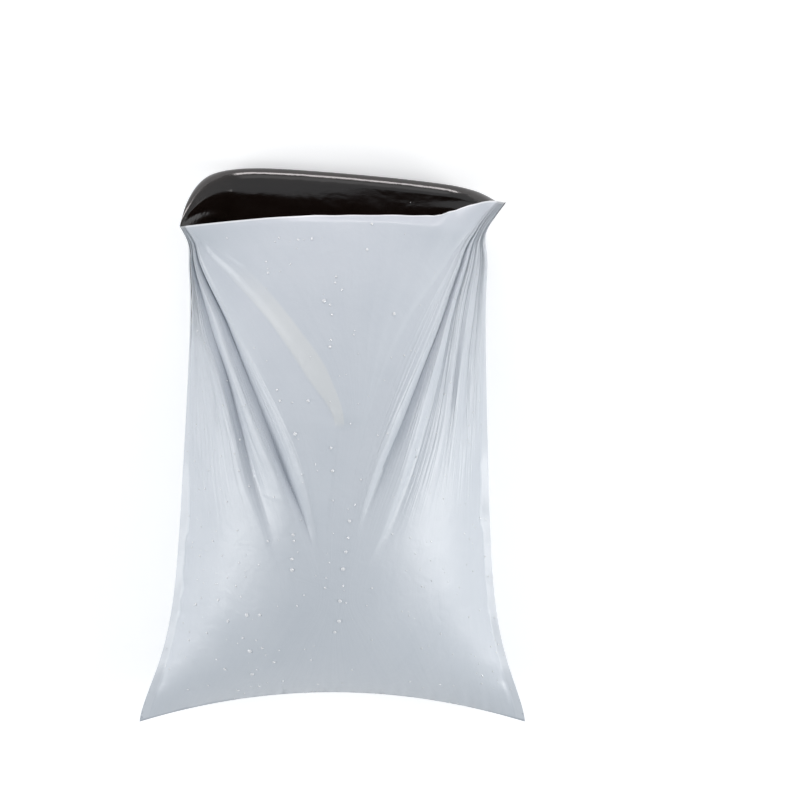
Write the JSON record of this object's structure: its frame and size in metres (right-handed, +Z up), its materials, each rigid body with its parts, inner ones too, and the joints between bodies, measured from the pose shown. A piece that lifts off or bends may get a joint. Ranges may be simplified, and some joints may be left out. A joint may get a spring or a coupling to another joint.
{
  "type": "poly mailer",
  "caption": "Poly mailer of white film with a black inside, lying on its back with its mouth drawn open and its self-seal flap rolled under.",
  "frame": {"origin": "on the floor, under the middle of the bag's own box", "axes": "+X across the bag, +Y out of the mouth, +Z up from the floor through the front panel"},
  "size_m": [0.25, 0.359, 0.0989],
  "materials": {
    "film": "pale blue-grey co-extruded film with a soft sheen, glossy black on its inner face",
    "adhesive": "clear amber hot-melt",
    "liner": "pale siliconised strip"
  },
  "bodies": {
    "root": {"bag_film": "film", "glue_strip": "adhesive", "release_liner": "liner"}
  },
  "joints": []
}
